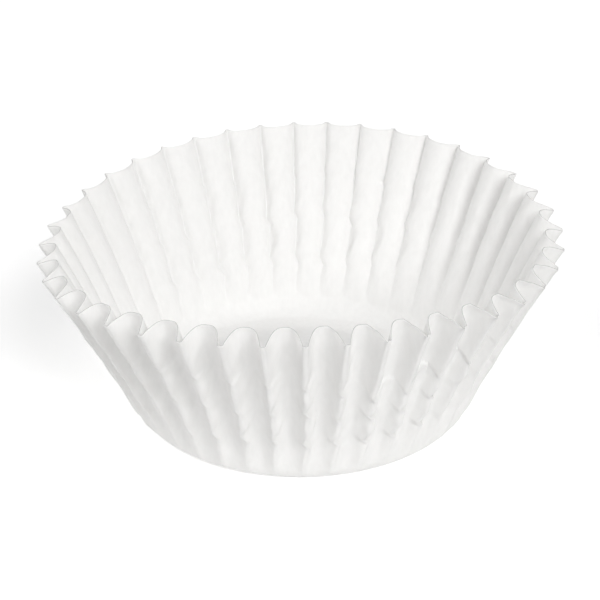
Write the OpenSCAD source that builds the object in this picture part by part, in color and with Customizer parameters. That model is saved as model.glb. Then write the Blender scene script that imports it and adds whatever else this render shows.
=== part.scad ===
// Fluted paper baking cup, pressed from one disc of paper.
// The origin is at the centre of the base, where the cup rests on the table, and +Z is up.
// Narrow ridges point outward and broad rounded lobes bulge inward between them.
// Each line up the wall keeps the paper's own length, so the lobes, which lean out less, stand higher.
// A cup lifted off its stack is never quite round or level, so waves run round its mouth.

/* [Cup] */
// Diameter of the circle in which the ridges' straight wall would meet the table
base_d = 52; // [42:1:60]
// Diameter of the mouth, measured across the ridge tips
mouth_d = 79; // [70:1:95]
// Height of the ridge tips above the table
wall_h = 28.8; // [20:0.2:40]
// Radius of the rounded bend between the base and the wall
bend_r = 3; // [1.5:0.1:5]
// How far the wall bows in at half its height
wall_bow = 0.4; // [0:0.05:1]

/* [Flutes] */
// Number of flutes round the cup
flutes = 40; // [28:4:44]
// Depth of a flute at the mouth, from ridge tip to lobe crest
flute_depth = 2.9; // [1.5:0.1:4]
// How the depth grows up the wall: 1 is a steady growth, and lower values deepen faster at the base
depth_growth = 0.65; // [0.5:0.05:1]
// Width of a ridge's narrow tip at the mouth
ridge_w = 0.7; // [0.5:0.1:1.2]
// Fullness of a lobe at the mouth: 2 is a parabola, and higher values have steeper sides
mouth_fullness = 3.4; // [2:0.1:5]
// Fullness of a lobe at the base, where the press leaves the flutes softer
base_fullness = 2; // [1.6:0.1:3]

/* [Uneven mouth] */
// How far the mouth is out of round as an oval
oval = 0.57; // [0:0.01:1]
// How far the mouth is out of round with three corners
three_corners = 0.85; // [0:0.01:1.2]
// How far the rim tilts
rim_tilt = 0.67; // [0:0.01:1]
// How far the rim rises and dips twice round the cup
rim_saddle = 0.61; // [0:0.01:1]
// How much higher the lobes stand at the front, and lower at the back
lobe_lift = 0.5; // [0:0.05:0.8]
// How far the flutes drift from even spacing, in degrees
drift = 1.6; // [0:0.1:2]

/* [Paper] */
// Thickness of the paper
paper_t = 0.1; // [0.08:0.01:0.2]

/* [Hidden] */

// Points round one flute, steps round the bend and steps up the wall
flute_points = 8;
bend_steps = 3;
wall_steps = 4;
panel_fn = 160;

// Angles of the first ridge, and of the first peak of each wave round the mouth
first_ridge = 1.4;
oval_at = 22;
corners_at = 93;
tilt_at = -10;
saddle_at = 83;
front_at = -90;
// The drift is the sum of waves with one, two and three peaks, each [share of the drift, angle of a peak]
drift_waves = [[0.65, 149], [1, 45], [0.7, 58]];

base_r = base_d / 2;
mouth_r = mouth_d / 2;
// The base is a plain round panel inside a flat ring, and the bend starts outside that ring
flat_ring = 2;
panel_r = base_r - bend_r - flat_ring;
// The panel reaches this far into the ring, so that they join as one sheet
panel_lap = 0.5;
// Length of paper up the wall, the same on ridges and lobes, and its angle above the table
slant = norm([mouth_r - base_r, wall_h]);
tilt = atan2(wall_h, mouth_r - base_r);
// How far the bend reaches along the base and up the wall, and the share of the wall where it ends
setback = bend_r * tan(tilt / 2);
bend_end = setback / slant;
// The stations up the wall are closer near the bend, where the flutes deepen fast
wall_spacing = 1.4;
// Share of a flute's angle that the ridge tip takes up
tip_share = ridge_w * flutes / (PI * mouth_d);
round_points = flutes * flute_points;
stations = bend_steps + wall_steps + 2;

// Share of the flute, from 0 to 1, at which its i-th point lies: the first two bound the ridge tip
function flute_share(i) =
    i == 0 ? -tip_share / 2 : tip_share / 2 + (1 - tip_share) * (i - 1) / (flute_points - 1);

// A wave round the cup with this many peaks, and the first of them at this angle
function wave(peaks, size, peak_at, angle) = size * cos(peaks * (angle - peak_at));

// Angle round the cup of point k on every ring
function around(k) =
    let (even = first_ridge + (floor(k / flute_points) + flute_share(k % flute_points)) * 360 / flutes)
    let (one = wave(1, drift_waves[0][0], drift_waves[0][1], even))
    let (two = wave(2, drift_waves[1][0], drift_waves[1][1], even))
    let (three = wave(3, drift_waves[2][0], drift_waves[2][1], even))
    even + drift * (one + two + three);

// How far in a point of the flute lies, from 0 on the ridge tip to 1 on the lobe crest
function inward(k, climb) =
    let (across = (flute_share(k % flute_points) - tip_share / 2) / (1 - tip_share))
    across <= 0 || across >= 1 ? 0
    : 1 - pow(abs(2 * across - 1), base_fullness + (mouth_fullness - base_fullness) * climb);

// Radius and height of the ridge tips' circle at the mouth, at an angle round the cup
function rim_r(angle) =
    mouth_r + wave(2, oval, oval_at, angle) + wave(3, three_corners, corners_at, angle);
function rim_z(angle) = wall_h + wave(1, rim_tilt, tilt_at, angle) + wave(2, rim_saddle, saddle_at, angle);

// How much higher than a ridge tip the rim stands this far in, as the paper keeps its length
function rise(depth) =
    let (run = mouth_r - depth - base_r)
    sqrt(slant * slant - run * run) - wall_h;

// Radius and height of the fluted wall at a share of its length above the bend
function wall(k, share) =
    let (angle = around(k))
    let (climb = bend_end + (1 - bend_end) * share)
    let (lobe = inward(k, climb))
    let (bow = wall_bow * 4 * share * (1 - share))
    let (depth = flute_depth * lobe * pow(share, depth_growth))
    let (lift = rise(flute_depth * lobe) + lobe * wave(1, lobe_lift, front_at, angle))
    [base_r + (rim_r(angle) - base_r) * climb - bow - depth, rim_z(angle) * climb + lift * share];

// Radius and height at a station along a wall line: the panel's edge, the bend, then the wall
function profile(k, station) =
    let (turn = tilt * (station - 1) / bend_steps)
    let (share = (station - 1 - bend_steps) / wall_steps)
    station == 0 ? [panel_r, 0]
    : station <= bend_steps ? [base_r - setback + bend_r * sin(turn), bend_r * (1 - cos(turn))]
    : wall(k, pow(share, wall_spacing));

// Point on the outer face of the paper
function outer_point(k, station) =
    let (flat = profile(k, station))
    [flat[0] * cos(around(k)), flat[0] * sin(around(k)), flat[1]];

// Square to the paper on one side of a point, towards the inside of the cup
function square_to(along, climbing) = let (out = cross(along, climbing)) -out / norm(out);

// Point on the inner face, mitred so that both sides of a fold keep their thickness.
// The first two rings lie flat on the table.
function inner_point(k, station) =
    let (here = outer_point(k, station))
    let (climbing = outer_point(k, min(station + 1, stations - 1)) - outer_point(k, max(station - 1, 0)))
    let (ahead = square_to(outer_point(k + 1, station) - here, climbing))
    let (behind = square_to(here - outer_point((k + round_points - 1) % round_points, station), climbing))
    station <= 1 ? here + [0, 0, paper_t]
    : here + paper_t * (ahead + behind) / (1 + ahead * behind);

// Two triangles for the patch between points k and k + 1 of a ring and the next ring.
// The cut runs the same way on both faces of the paper, and mirrored on the two halves of a lobe.
function patch(k, ring, rings) =
    let (next = (k + 1) % round_points)
    let (next_ring = (ring + 1) % rings)
    let (a = ring * round_points + k)
    let (b = ring * round_points + next)
    let (c = next_ring * round_points + next)
    let (d = next_ring * round_points + k)
    let (first_half = k % flute_points < flute_points / 2)
    let (outer_face = ring < stations)
    first_half == outer_face ? [[a, c, b], [a, d, c]] : [[a, d, b], [b, d, c]];

// The bend and the fluted wall, an open ring of paper.
// Its rings of points run up the outer face, over the cut edge and down the inner face.
module fluted_sheet() {
    rings = 2 * stations;
    outer = [for (station = [0 : stations - 1]) for (k = [0 : round_points - 1])
        outer_point(k, station)];
    inner = [for (station = [stations - 1 : -1 : 0]) for (k = [0 : round_points - 1])
        inner_point(k, station)];
    faces = [for (ring = [0 : rings - 1]) for (k = [0 : round_points - 1])
        each patch(k, ring, rings)];
    polyhedron(points = concat(outer, inner), faces = faces, convexity = 10);
}

// The plain middle of the base
module base_panel() {
    cylinder(h = paper_t, r = panel_r + panel_lap, $fn = panel_fn);
}

module liner() {
    color("white")
    union() {
        fluted_sheet();
        base_panel();
    }
}

liner();
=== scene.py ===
"""White fluted paper baking cup on a pale floor, in soft studio light."""
import math

import bpy
import numpy as np
from mathutils import Matrix, Vector


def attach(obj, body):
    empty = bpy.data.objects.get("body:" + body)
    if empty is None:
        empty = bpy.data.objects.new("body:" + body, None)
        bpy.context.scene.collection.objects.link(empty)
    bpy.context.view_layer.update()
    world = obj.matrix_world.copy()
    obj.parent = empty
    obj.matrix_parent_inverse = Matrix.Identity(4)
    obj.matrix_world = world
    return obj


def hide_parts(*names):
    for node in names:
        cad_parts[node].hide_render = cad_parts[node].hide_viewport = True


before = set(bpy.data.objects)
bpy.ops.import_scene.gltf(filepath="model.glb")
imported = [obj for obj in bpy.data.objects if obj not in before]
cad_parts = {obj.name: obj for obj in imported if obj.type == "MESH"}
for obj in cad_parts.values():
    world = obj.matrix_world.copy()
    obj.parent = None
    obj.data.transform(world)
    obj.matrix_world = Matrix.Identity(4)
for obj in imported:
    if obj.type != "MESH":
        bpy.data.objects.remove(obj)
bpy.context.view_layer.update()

MM = 0.001
WHITE = (1, 1, 1, 1)

# Angles round the cup are in degrees, with the front at -90. Places up the wall are shares of its
# height, and places across a flute are shares of its width, with a ridge at 0 and the next at 1.
# A wave round the cup is (number of peaks, size, angle of the first peak). A range is that of a
# random factor, which differs from flute to flute.

# Sizes of the cup in millimetres. The paper is a little thicker than the solid's, to show its edge
# as a line of painted shade.
BASE_R = 26.0
MOUTH_R = 39.5
WALL_H = 28.8
FLUTES = 40
RIDGE_W = 0.7
PAPER_T = 0.13
# How far the wall bows in at half its height, and the share of the wall over which the bow sets in
WALL_BOW = 0.43
BOW_STARTS = 0.2

# The bend starts with a crease of this angle round the flat base, and goes on as an arc of this
# radius
BEND_CREASE = 20.0
BEND_R = 4.7
# Distance up the paper from that crease at which the flutes start, as waves: lower at the front.
# Beside a ridge they start further up than at a lobe's crest, by this much.
FLUTE_START = ((0, 2.9, 0), (1, 1.25, 90))
RIDGE_DELAY = 0.5

# Depth of the flutes at the mouth. The paper needs its flutes from the base up, so they deepen fast
# at first: a growth of 1 would be steady.
FLUTE_DEPTH = 2.88
DEPTH_RANGE = (0.97, 1.03)
DEPTH_GROWTH = 0.65
# Fullness of a lobe's section: 2 is a parabola, and higher values have steeper sides
MOUTH_FULLNESS = 3.4
BASE_FULLNESS = 2.0

# Round this angle at the back the cup is stretched a little, and its flutes are shallower by up to
# this share. The stretch sets in between these cosines of the angle from there, and between these
# shares of the wall above the bend.
STRETCH_AT = 105
BACK_STRETCH = 0.42
STRETCH_COSINES = (0.15, 0.75)
STRETCH_HEIGHTS = (-0.2, 0.5)
# The stretched lobes are softer, and their ridges are narrower by this share
BACK_FULLNESS = 2.3
RIDGE_NARROWING = 0.5
# This share of their depth is held in narrow lines at the ridges, which set in between these
# heights
PINCH = 0.3
PINCH_FULLNESS = 11
PINCH_HEIGHTS = (0.25, 0.8)

# The cup isn't quite round, level or evenly spaced: waves of the mouth's radius and the rim's
# height in millimetres, and of the flutes' angles in degrees
MOUTH_WAVES = ((2, 0.57, 22), (3, 0.85, 93), (4, 0.20, 38))
HEIGHT_WAVES = ((1, 0.67, -10), (2, 0.61, 83), (3, 0.11, 37))
SPACING_WAVES = ((1, 1.05, 149), (2, 1.62, 45), (3, 1.12, 58))
FIRST_RIDGE = 1.37
# How much higher the lobes' crests stand than the paper's length alone would put them, as waves
LIFT_WAVES = ((0, -0.095, 0), (1, 0.51, -90), (2, 0.105, -90), (1, 0.08, 0))
# Height and width of the small pointed tips on the ridges at the back
TIP_LIFT = 0.1
TIP_WIDTH = 0.07

# Three rows of kinks, as places up the wall with some scatter. Below a kink the flute drifts
# sideways by this size in millimetres, at the kink it jumps back past its line by a share of that,
# and above the kink it settles.
KINKS = (0.29, 0.51, 0.72)
KINK_SCATTER = 0.016
KINK_SIZES = (0.68, 0.58, 0.28)
SIZE_RANGE = (0.5, 1.4)
OVERSHOOT = 0.5
# These moves go one way at the front and the other way at the back, where they are smaller by this
# factor. They shrink towards the sides of the cup, but not below these shares.
BACK_JUMPS = 0.6
LEAST_FRONT_JUMP = 0.25
LEAST_BACK_JUMP = 0.15
# Half the height over which a row's jumps happen
KINK_GAPS = (0.02, 0.018, 0.009)
# Height below a kink over which the drift fades to about a third, and height above it over which
# the flute settles
DRIFT_HEIGHT = 1 / 11
SETTLE_HEIGHT = 0.07
# Distance from the ridge over which a jump fades, and the share of the wall over which jumps set in
JUMP_WIDTH = 0.2
JUMPS_START = 0.25
# Share of a jump that the middle of a lobe takes part in
MID_LOBE = 0.25
MID_RANGE = (0.3, 1.5)
# How far a row's line arches up over a lobe. A skew above 1 moves the arch's top towards the next
# ridge.
KINK_ARCH = (0.01, 0.02, 0.045)
ARCH_RANGE = (0.6, 1.4)
ARCH_SKEW = 1.3

# Round this angle the creases of the top row are strong arches. They add this much to a jump's size
# and to its arch, and the middle of a lobe takes part in at least this share of the jump.
ARCHES_AT = 300
ARCHES_SPREAD = 12
ARCH_SIZE = 0.02
ARCH_RISE = 0.035
ARCH_MID = 0.6
# Below an arch the paper stands out in a lip, which fades down the wall over this height. Across
# the flute it sets in and ends between these places, with a shallow dip beyond its end.
ARCH_LIP = 1.25
LIP_FADE = 0.25
LIP_STARTS = (0.08, 0.25)
LIP_ENDS = (0.6, 0.8)
LIP_DIP = 0.15
# The three rows lie lower by these amounts round this angle
ROW_DROPS = (0.02, 0.07, 0.16)
ROW_DROPS_AT = 292
ROW_DROPS_SPREAD = 20

# Above a kink the paper puckers into a facet on either side of the ridge, which bulges out by this
# much, and less in the top row. On the side to which the flute drifted, the facet also leans away
# from the ridge, and the lean sets in between these two distances from it.
PUCKER = 0.55
PUCKER_RANGE = (0.3, 1.2)
TOP_PUCKERS = 0.4
PUCKER_LEAN = 0.75
LEAN_STARTS = (0.01, 0.1)
# Height and width of a facet, and how steeply its lower edge climbs on that side and on the other.
# It rises from that edge and falls at its top over these shares of its height.
PUCKER_HEIGHT = 0.17
PUCKER_WIDTH = 0.42
PUCKER_SLOPES = (0.9, 3)
PUCKER_EDGES = (0.45, 0.4)

# Unevenness of the pressed paper in millimetres, in layers of (seed, share, bumps round the cup,
# bumps up the wall)
CRINKLE = 0.045
CRINKLE_LAYERS = ((11, 1.0, 110, 9), (12, 0.6, 260, 22))
# Unevenness of the cut at the rim
RIM_SCATTER = 0.05
# Round this angle the rim curls out and drops by these sizes, over this height of the wall
CURLS_AT = 310
CURLS_SPREAD = 32
CURL = 1.2
CURL_DROP = 0.5
CURL_SPAN = 0.05
# Places across a flute between which it curls, and the widths over which that sets in and ends
CURL_SIDE = (0.58, 0.97)
CURL_EDGES = (0.12, 0.08)

# Seed of all random draws but the crinkle's
SEED = 7

# Mesh density, and how closely points crowd at the ridges and rings at the kinks: 0 is even
POINTS_PER_FLUTE = 20
WALL_STEPS = 47
BEND_RINGS = 8
BASE_RADII = (0.0, 12.0, 21.0)
RIDGE_CROWDING = 0.45
KINK_CROWDING = 0.6

# The paper's colour, the factors of its darkest and lightest mottling, and the grey of its cut
# edge, which is painted shade: a dark line along the rim
PAPER_COLOUR = (0.95, 0.947, 0.94)
MOTTLE_TINTS = (0.94, 1.04)
EDGE_SHADE_COLOUR = (0.68, 0.68, 0.67)
PAPER_ROUGHNESS = 0.75
PAPER_SPECULAR = 0.25
# Share of light that each of its two skins passes on
LIGHT_THROUGH = 0.4
# The mottling, drawn out along the height, and the finer fibres with their depth in metres
MOTTLE_SCALE = 1300
MOTTLE_STRETCH = (1, 1, 0.3)
MOTTLE_ROUGHNESS = 0.6
FIBRE_SCALE = 2600
FIBRE_ROUGHNESS = 0.5
FIBRE_STRENGTH = 0.5
FIBRE_DEPTH = 0.00008
NOISE_DETAIL = 6

# Floor, with a glow that shows to the camera and in reflections but lights nothing, so that it
# stays white round the cup's shadow
FLOOR_HALF = 3.0
FLOOR_COLOUR = (0.93, 0.93, 0.93)
FLOOR_ROUGHNESS = 0.9
FLOOR_SPECULAR = 0.1
FLOOR_GLOW = 0.43

# Camera, fitted to the photograph: the image's size, the focal length and the pixel at which the
# camera's axis meets the image, all in pixels, then its angles in degrees, its distance from the
# point that it aims at and that point's height in millimetres, and the range it sees in metres
IMAGE_PX = 600
FOCAL_PX = 2264
CENTRE_PX = (300.9, 309.5)
CAMERA_EL = 28.36
CAMERA_DISTANCE = 352.0
CAMERA_ROLL = -0.18
AIM_HEIGHT = 15.0
SENSOR_MM = 36.0
CAMERA_RANGE = (0.01, 20.0)

# Soft studio light: the name, azimuth, elevation, width in metres and power of each lamp
LAMP_DISTANCE = 3.0
LAMPS = (
    ("key", 300, 38.5, 1.5, 63),
    ("left", 182, 40, 1.5, 23),
    ("front_left", 228, 34, 1.5, 14),
)
ROOM_LEVEL = 0.12


def wave_sum(waves, angle):
    """Sum of waves round the cup."""
    return sum(size * np.cos(np.radians(count * (angle - peak))) for count, size, peak in waves)


def smooth(low, high, value):
    """0 below low, 1 above high, and smooth between."""
    t = np.clip((value - low) / (high - low), 0, 1)
    return t * t * (3 - 2 * t)


def hill(angle, centre, spread):
    """1 at the centre angle, falling smoothly to 0 on either side."""
    away = (angle - centre + 180) % 360 - 180
    return np.exp(-(away / spread) ** 2)


def crowded(even, amount):
    """Moves even places from 0 to 1 closer to both ends."""
    return even - amount * np.sin(2 * np.pi * even) / (2 * np.pi)


def lobe_shape(across, climb, back):
    """How far in the paper lies, from 0 on a ridge tip to 1 on a lobe's crest."""
    tip = RIDGE_W * (1 - RIDGE_NARROWING * back) / (2 * math.pi * MOUTH_R / FLUTES)
    inside = np.clip((across - tip / 2) / (1 - tip), 0, 1)
    front_fullness = BASE_FULLNESS + (MOUTH_FULLNESS - BASE_FULLNESS) * climb ** 2
    fullness = front_fullness * (1 - back) + BACK_FULLNESS * back
    off_crest = np.abs(2 * inside - 1)
    pinch = PINCH * back * smooth(*PINCH_HEIGHTS, climb)
    return 1 - (1 - pinch) * off_crest ** fullness - pinch * off_crest ** PINCH_FULLNESS


def wall_stops(start):
    """Places up the wall between which its rings lie: its start, the kinks and the rim."""
    return (start, *KINKS, 1.0)


def wall_places(start):
    """Places of the wall's rings: closer at the kinks, with two at each and three at the last."""
    stops = wall_stops(start)
    gaps = (0, *KINK_GAPS, 0)
    places = []
    for low, high, low_gap, high_gap in zip(stops, stops[1:], gaps, gaps[1:]):
        first, last = low + low_gap, high - high_gap
        even = np.linspace(0, 1, round(WALL_STEPS * (high - low) / (1 - start)) + 1)
        places += list(first + (last - first) * crowded(even, KINK_CROWDING))
        if high == KINKS[-1]:
            places.append(high)
    return places


class Kinks:
    """The kinks of all flutes: where they lie and how they move the paper."""

    def __init__(self, rng, flute, across, ridge_angles):
        self.flute, self.across = flute, across
        self.after = (flute + 1) % FLUTES
        facing = -np.sin(np.radians(ridge_angles))
        facing = np.where(facing > 0, np.maximum(facing, LEAST_FRONT_JUMP),
                          np.minimum(BACK_JUMPS * facing, -LEAST_BACK_JUMP))
        arches = hill(ridge_angles, ARCHES_AT, ARCHES_SPREAD)
        drops = hill(ridge_angles, ROW_DROPS_AT, ROW_DROPS_SPREAD)
        shape = (len(KINKS), FLUTES)
        self.height = self.by_row(KINKS) + rng.normal(0, KINK_SCATTER, shape)
        self.height -= self.by_row(ROW_DROPS) * drops
        self.side = np.sign(facing)
        self.size = self.by_row(KINK_SIZES) * rng.uniform(*SIZE_RANGE, shape) * facing
        self.size[-1] += ARCH_SIZE * arches
        self.mid = MID_LOBE * rng.uniform(*MID_RANGE, shape)
        self.mid[-1] = np.maximum(self.mid[-1], ARCH_MID * arches)
        self.lip = ARCH_LIP * arches
        self.arch = self.by_row(KINK_ARCH) * rng.uniform(*ARCH_RANGE, shape)
        self.arch[-1] += ARCH_RISE * arches
        self.pucker = rng.uniform(*PUCKER_RANGE, shape) * np.abs(facing)
        self.pucker[-1] *= TOP_PUCKERS

    @staticmethod
    def by_row(values):
        """One value for each row, ready to combine with those of the flutes."""
        return np.array(values)[:, None]

    def line(self, row):
        """Height of a row's kinks at every point round the cup, arching up over each lobe."""
        straight = self.height[row][self.flute] * (1 - self.across)
        straight = straight + self.height[row][self.after] * self.across
        skewed = self.across ** ARCH_SKEW
        return straight + self.arch[row][self.flute] * 4 * skewed * (1 - skewed)

    def climb(self, place, start):
        """True share of the height for a ring, so that the rings follow the kinks."""
        stops = wall_stops(start)
        lines = [np.full_like(self.across, start), *[self.line(row) for row in range(len(KINKS))],
                 np.ones_like(self.across)]
        part = min(max(np.searchsorted(stops, place) - 1, 0), len(stops) - 2)
        share = (place - stops[part]) / (stops[part + 1] - stops[part])
        return lines[part] * (1 - share) + lines[part + 1] * share

    def sideways(self, place):
        """Sideways move at a ring: a drift up to each kink, a jump back, and the facets' lean."""
        total = np.zeros_like(self.across)
        for row, (kink, gap) in enumerate(zip(KINKS, KINK_GAPS)):
            if place < kink - gap / 2:
                move = math.exp(-(kink - gap - place) / DRIFT_HEIGHT)
            elif place > kink + gap / 2:
                move = -OVERSHOOT * max(0.0, 1 - (place - kink - gap) / SETTLE_HEIGHT)
            else:
                move = (1 - OVERSHOOT) / 2
            mid = self.mid[row][self.flute]
            near, far = [(1 - mid) * np.exp(-(away / JUMP_WIDTH) ** 2) + mid * (1 - away)
                         for away in (self.across, 1 - self.across)]
            total += move * (self.size[row][self.flute] * near + self.size[row][self.after] * far)
        for side, ridge, away, bulge in self.puckers(place):
            lean = PUCKER_LEAN * side * bulge * smooth(*LEAN_STARTS, away)
            total += lean * (self.side[ridge] == side)
        return total

    def puckers(self, place):
        """The facets above the kinks: side of the ridge, ridge, distance from it, and bulge."""
        sides = ((1, self.flute, self.across), (-1, self.after, 1 - self.across))
        for row, kink in enumerate(KINKS):
            above = (place - kink) / PUCKER_HEIGHT
            for side, ridge, away in sides:
                slope = np.where(self.side[ridge] == side, *PUCKER_SLOPES)
                rise = (above - slope * away / PUCKER_WIDTH) / PUCKER_EDGES[0]
                bulge = np.clip(np.minimum(rise, (1 - above) / PUCKER_EDGES[1]), 0, 1)
                yield side, ridge, away, self.pucker[row][ridge] * bulge * (away < 0.5)

    def outward(self, place):
        """How far the facets and the arches' lip push the paper out at a ring."""
        total = sum(PUCKER * bulge for _, _, _, bulge in self.puckers(place))
        gap = KINK_GAPS[-1]
        below = KINKS[-1] - gap - place
        ledge = min(max(1 + below / (2 * gap), 0), 1) * math.exp(-max(below, 0) / LIP_FADE)
        end = (1 + LIP_DIP) * smooth(*LIP_ENDS, self.across)
        window = smooth(*LIP_STARTS, self.across) * (1 - end)
        return total + self.lip[self.flute] * ledge * window


def bumps(seed, around, climb, columns, rows):
    """Smooth random unevenness from -1 to 1 round and up the wall."""
    values = np.random.default_rng(seed).uniform(-1, 1, (rows + 2, columns))
    x = around / 360 * columns
    y = climb * rows
    column, row = np.floor(x).astype(int), np.clip(np.floor(y).astype(int), 0, rows)
    tx, ty = smooth(0, 1, x - column), smooth(0, 1, y - row)
    here, after = column % columns, (column + 1) % columns
    low = values[row, here] * (1 - tx) + values[row, after] * tx
    high = values[row + 1, here] * (1 - tx) + values[row + 1, after] * tx
    return low * (1 - ty) + high * ty


def crinkle(around, climb):
    """All layers of the paper's unevenness."""
    return sum(share * bumps(seed, around, climb, columns, rows)
               for seed, share, columns, rows in CRINKLE_LAYERS)


def rim_curl(around, across, climb):
    """How far a point takes part in the curl of the rim, from 0 to 1."""
    near_rim = np.clip((climb - 1 + CURL_SPAN) / CURL_SPAN, 0, 1) ** 2
    (starts, ends), (start_edge, end_edge) = CURL_SIDE, CURL_EDGES
    side = np.clip(np.minimum((across - starts) / start_edge, (ends - across) / end_edge), 0, 1)
    return near_rim * side * hill(around, CURLS_AT, CURLS_SPREAD)


def paper_surface():
    """Middle of the paper, in millimetres, as rings of points from the base's centre to the rim."""
    rng = np.random.default_rng(SEED)
    flute = np.repeat(np.arange(FLUTES), POINTS_PER_FLUTE)
    steps = np.arange(POINTS_PER_FLUTE) / POINTS_PER_FLUTE
    across = np.tile(crowded(steps, RIDGE_CROWDING), FLUTES)
    even = (flute + across) * 360.0 / FLUTES + FIRST_RIDGE
    around = even + wave_sum(SPACING_WAVES, even)
    kinks = Kinks(rng, flute, across, around[::POINTS_PER_FLUTE])
    full_depth = (FLUTE_DEPTH * rng.uniform(*DEPTH_RANGE, FLUTES))[flute]
    cuts = rng.uniform(-1, 1, FLUTES)[flute] * RIM_SCATTER

    mouth_r = MOUTH_R + wave_sum(MOUTH_WAVES, around)
    wall_h = WALL_H + wave_sum(HEIGHT_WAVES, around)
    back = smooth(*STRETCH_COSINES, np.cos(np.radians(around - STRETCH_AT)))
    tips = TIP_LIFT * back * np.exp(-(np.minimum(across, 1 - across) / TIP_WIDTH) ** 2)

    # The straight line up a ridge, the bend below it, and the length of paper along both
    lean = math.atan2(WALL_H, MOUTH_R - BASE_R)
    slant = math.hypot(MOUTH_R - BASE_R, WALL_H)
    crease = math.radians(BEND_CREASE)
    start = BEND_R * (math.cos(crease) - math.cos(lean)) / WALL_H
    bend_r = BASE_R + start * (MOUTH_R - BASE_R) - BEND_R * (math.sin(lean) - math.sin(crease))
    bend_path = BEND_R * (lean - crease)
    whole_path = bend_path + slant * (1 - start)
    flutes_from = wave_sum(FLUTE_START, around) + RIDGE_DELAY * np.abs(2 * across - 1) ** 4

    def depth_share(path):
        return np.clip((path - flutes_from) / (whole_path - flutes_from), 0, 1) ** DEPTH_GROWTH

    rings = [(np.full_like(around, radius), np.zeros_like(around), around)
             for radius in (*BASE_RADII, bend_r)]
    for turn in np.linspace(crease, lean, BEND_RINGS + 1)[1:-1]:
        depth = full_depth * depth_share(BEND_R * (turn - crease))
        depth = depth * lobe_shape(across, 0, back) / math.sin(lean)
        radius = bend_r + BEND_R * (math.sin(turn) - math.sin(crease)) - depth * math.sin(turn)
        height = BEND_R * (math.cos(crease) - math.cos(turn)) + depth * math.cos(turn)
        rings.append((radius, height, around))
    for place in wall_places(start):
        climb = kinks.climb(place, start)
        share = (climb - start) / (1 - start)
        mouth_depth = full_depth * (1 - BACK_STRETCH * back * smooth(*STRETCH_HEIGHTS, share))
        lobe = lobe_shape(across, climb, back)
        bow = WALL_BOW * 4 * climb * (1 - climb) * smooth(0, BOW_STARTS, share)
        depth = mouth_depth * depth_share(bend_path + slant * (climb - start)) * lobe
        # The paper keeps its length, so it stands higher where it leans out less
        rise = (np.sqrt(slant ** 2 - (mouth_r - mouth_depth * lobe - BASE_R) ** 2)
                - np.sqrt(slant ** 2 - (mouth_r - BASE_R) ** 2))
        lift = wave_sum(LIFT_WAVES, around) * lobe + tips
        curl = rim_curl(around, across, climb)
        out = kinks.outward(place) + CRINKLE * share * crinkle(around, climb) + CURL * curl
        radius = BASE_R + (mouth_r - BASE_R) * climb - bow - depth + out
        height = (wall_h * climb + depth * (1 - share) / math.tan(lean)
                  + share * (rise + lift * climb + cuts) - CURL_DROP * curl)
        shift = kinks.sideways(place) * smooth(0, JUMPS_START, share)
        rings.append((radius, height, around + np.degrees(shift / radius)))

    return np.array([np.stack([r * np.cos(np.radians(a)), r * np.sin(np.radians(a)), z], 1)
                     for r, z, a in rings])


def skin_normals(grid):
    """Unit normals of the grid, pointing out of the cup."""
    along = np.roll(grid, -1, axis=1) - np.roll(grid, 1, axis=1)
    climb = np.gradient(grid, axis=0)
    normal = np.cross(along, climb)
    length = np.linalg.norm(normal, axis=2, keepdims=True)
    # All points of the first ring lie at the base's centre, where only straight down makes sense
    normal = normal / np.maximum(length, 1e-9)
    normal[0] = (0, 0, -1)
    return normal


def cup_mesh(name, grid):
    """Closed mesh of the sheet: outer skin, cut edge and inner skin, resting on the table."""
    half = PAPER_T / 2
    normal = skin_normals(grid)
    outer, inner = grid + normal * half, grid - normal * half
    rings, count, _ = grid.shape
    points = [(0, 0, outer[0, 0, 2]), (0, 0, inner[0, 0, 2])]
    points += [tuple(p) for skin in (outer, inner) for p in skin[1:].reshape(-1, 3)]
    points = [(x * MM, y * MM, (z + half) * MM) for x, y, z in points]

    def index(skin, ring, k):
        return 2 + skin * (rings - 1) * count + (ring - 1) * count + k % count

    faces = []
    for k in range(count):
        faces.append((0, index(0, 1, k + 1), index(0, 1, k)))
        faces.append((1, index(1, 1, k), index(1, 1, k + 1)))
        for ring in range(1, rings - 1):
            faces.append((index(0, ring, k), index(0, ring, k + 1),
                          index(0, ring + 1, k + 1), index(0, ring + 1, k)))
            faces.append((index(1, ring, k), index(1, ring + 1, k),
                          index(1, ring + 1, k + 1), index(1, ring, k + 1)))
    edge_start = len(faces)
    top = rings - 1
    for k in range(count):
        faces.append((index(0, top, k), index(0, top, k + 1),
                      index(1, top, k + 1), index(1, top, k)))
    mesh = bpy.data.meshes.new(name)
    mesh.from_pydata(points, [], faces)
    mesh.update()
    mesh.shade_smooth()
    # The rim's strip takes the grey second material, a painted line of shade along the top edge
    for polygon in mesh.polygons[edge_start:]:
        polygon.material_index = 1
        polygon.use_smooth = False
    return mesh


def new_material(name):
    """A new material, its nodes, its links and its main shader."""
    material = bpy.data.materials.new(name)
    material.use_nodes = True
    nodes = material.node_tree.nodes
    return material, nodes, material.node_tree.links, nodes["Principled BSDF"]


def noise(nodes, links, place, scale, roughness):
    """Noise of this scale at a place in the object."""
    node = nodes.new("ShaderNodeTexNoise")
    node.inputs["Scale"].default_value = scale
    node.inputs["Detail"].default_value = NOISE_DETAIL
    node.inputs["Roughness"].default_value = roughness
    links.new(place, node.inputs["Vector"])
    return node.outputs["Fac"]


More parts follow.
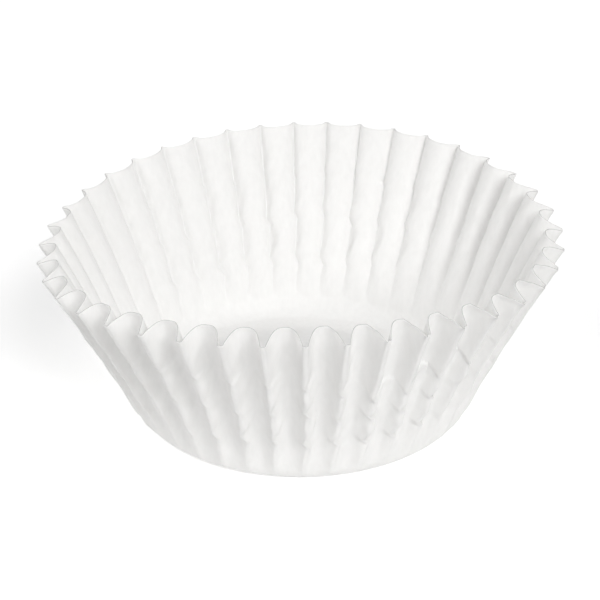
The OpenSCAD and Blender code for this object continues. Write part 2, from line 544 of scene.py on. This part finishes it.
def paper_material(name, colour):
    """Thin white paper: soft fibres, faint mottling and a dull surface that passes some light."""
    material, nodes, links, shader = new_material(name)
    shader.inputs["Roughness"].default_value = PAPER_ROUGHNESS
    shader.inputs["Specular IOR Level"].default_value = PAPER_SPECULAR
    place = nodes.new("ShaderNodeTexCoord").outputs["Object"]
    drawn_out = nodes.new("ShaderNodeMapping")
    drawn_out.inputs["Scale"].default_value = MOTTLE_STRETCH
    links.new(place, drawn_out.inputs["Vector"])
    mottle = noise(nodes, links, drawn_out.outputs["Vector"], MOTTLE_SCALE, MOTTLE_ROUGHNESS)
    tint = nodes.new("ShaderNodeMix")
    tint.data_type = "RGBA"
    for socket, factor in zip(("A", "B"), MOTTLE_TINTS):
        tint.inputs[socket].default_value = (*[min(c * factor, 1) for c in colour], 1)
    links.new(mottle, tint.inputs["Factor"])
    links.new(tint.outputs["Result"], shader.inputs["Base Color"])
    bump = nodes.new("ShaderNodeBump")
    bump.inputs["Strength"].default_value = FIBRE_STRENGTH
    bump.inputs["Distance"].default_value = FIBRE_DEPTH
    links.new(noise(nodes, links, place, FIBRE_SCALE, FIBRE_ROUGHNESS), bump.inputs["Height"])
    links.new(bump.outputs["Normal"], shader.inputs["Normal"])
    through = nodes.new("ShaderNodeBsdfTranslucent")
    links.new(tint.outputs["Result"], through.inputs["Color"])
    sheet = nodes.new("ShaderNodeMixShader")
    sheet.inputs["Fac"].default_value = LIGHT_THROUGH
    links.new(shader.outputs["BSDF"], sheet.inputs[1])
    links.new(through.outputs["BSDF"], sheet.inputs[2])
    links.new(sheet.outputs["Shader"], nodes["Material Output"].inputs["Surface"])
    return material


def build_cup():
    """The paper cup, which stands for the CAD's liner."""
    mesh = cup_mesh("paper_cup", paper_surface())
    mesh.materials.append(paper_material("white_paper", PAPER_COLOUR))
    # The cut edge's grey is painted shade, a dark line along the rim
    mesh.materials.append(paper_material("cut_edge_painted_shade", EDGE_SHADE_COLOUR))
    cup = bpy.data.objects.new("paper_cup", mesh)
    bpy.context.scene.collection.objects.link(cup)
    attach(cup, "root")
    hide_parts("liner")


def seen_straight(nodes, links):
    """1 for rays from the camera, and for those in reflections and through glass, else 0."""
    path = nodes.new("ShaderNodeLightPath")
    result = path.outputs["Is Camera Ray"]
    for ray in ("Is Glossy Ray", "Is Transmission Ray"):
        larger = nodes.new("ShaderNodeMath")
        larger.operation = "MAXIMUM"
        links.new(result, larger.inputs[0])
        links.new(path.outputs[ray], larger.inputs[1])
        result = larger.outputs["Value"]
    return result


def floor_material(name, colour):
    """Plain dull floor that shows as white to the camera where nothing shades it."""
    material, nodes, links, shader = new_material(name)
    shader.inputs["Base Color"].default_value = (*colour, 1)
    shader.inputs["Roughness"].default_value = FLOOR_ROUGHNESS
    shader.inputs["Specular IOR Level"].default_value = FLOOR_SPECULAR
    shader.inputs["Emission Color"].default_value = WHITE
    glow = nodes.new("ShaderNodeMath")
    glow.operation = "MULTIPLY"
    glow.inputs[1].default_value = FLOOR_GLOW
    links.new(seen_straight(nodes, links), glow.inputs[0])
    links.new(glow.outputs["Value"], shader.inputs["Emission Strength"])
    return material


def build_floor():
    """A wide flat floor round the cup."""
    half = FLOOR_HALF
    mesh = bpy.data.meshes.new("floor")
    mesh.from_pydata([(-half, -half, 0), (half, -half, 0), (half, half, 0), (-half, half, 0)], [],
                     [(0, 1, 2, 3)])
    mesh.materials.append(floor_material("floor_white", FLOOR_COLOUR))
    floor = bpy.data.objects.new("floor", mesh)
    bpy.context.scene.collection.objects.link(floor)


def add_lamp(name, azimuth, elevation, size, power):
    """Square softbox, in a direction from the cup given in degrees and aimed at it."""
    light = bpy.data.lights.new(name, "AREA")
    light.shape = "SQUARE"
    light.size = size
    light.energy = power
    lamp = bpy.data.objects.new(name, light)
    az, el = math.radians(azimuth), math.radians(elevation)
    away = Vector((math.cos(az) * math.cos(el), math.sin(az) * math.cos(el), math.sin(el)))
    lamp.location = away * LAMP_DISTANCE + Vector((0, 0, AIM_HEIGHT * MM))
    lamp.rotation_euler = (-away).to_track_quat("-Z", "Y").to_euler()
    bpy.context.scene.collection.objects.link(lamp)


def light_scene():
    """The lamps and an even pale room, which shows as white to the camera."""
    world = bpy.data.worlds.new("room")
    bpy.context.scene.world = world
    world.use_nodes = True
    nodes, links = world.node_tree.nodes, world.node_tree.links
    room = nodes["Background"]
    room.inputs["Color"].default_value = WHITE
    room.inputs["Strength"].default_value = ROOM_LEVEL
    seen = nodes.new("ShaderNodeBackground")
    seen.inputs["Color"].default_value = WHITE
    mix = nodes.new("ShaderNodeMixShader")
    links.new(seen_straight(nodes, links), mix.inputs["Fac"])
    links.new(room.outputs["Background"], mix.inputs[1])
    links.new(seen.outputs["Background"], mix.inputs[2])
    links.new(mix.outputs["Shader"], nodes["World Output"].inputs["Surface"])
    for lamp in LAMPS:
        add_lamp(*lamp)


def add_camera():
    """Camera at the photograph's viewing angle."""
    data = bpy.data.cameras.new("camera")
    data.sensor_width = SENSOR_MM
    data.lens = SENSOR_MM * FOCAL_PX / IMAGE_PX
    data.shift_x = (IMAGE_PX / 2 - CENTRE_PX[0]) / IMAGE_PX
    data.shift_y = (CENTRE_PX[1] - IMAGE_PX / 2) / IMAGE_PX
    data.clip_start, data.clip_end = CAMERA_RANGE
    camera = bpy.data.objects.new("camera", data)
    el = math.radians(CAMERA_EL)
    back = Vector((0, -math.cos(el), math.sin(el)))
    place = Matrix.Translation(Vector((0, 0, AIM_HEIGHT * MM)) + back * CAMERA_DISTANCE * MM)
    roll = Matrix.Rotation(math.radians(CAMERA_ROLL), 4, "Z")
    camera.matrix_world = place @ (Matrix.Rotation(math.pi / 2 - el, 4, "X") @ roll)
    bpy.context.scene.collection.objects.link(camera)
    bpy.context.scene.camera = camera


add_camera()
light_scene()
build_floor()
build_cup()
bpy.context.scene.view_settings.view_transform = "Standard"
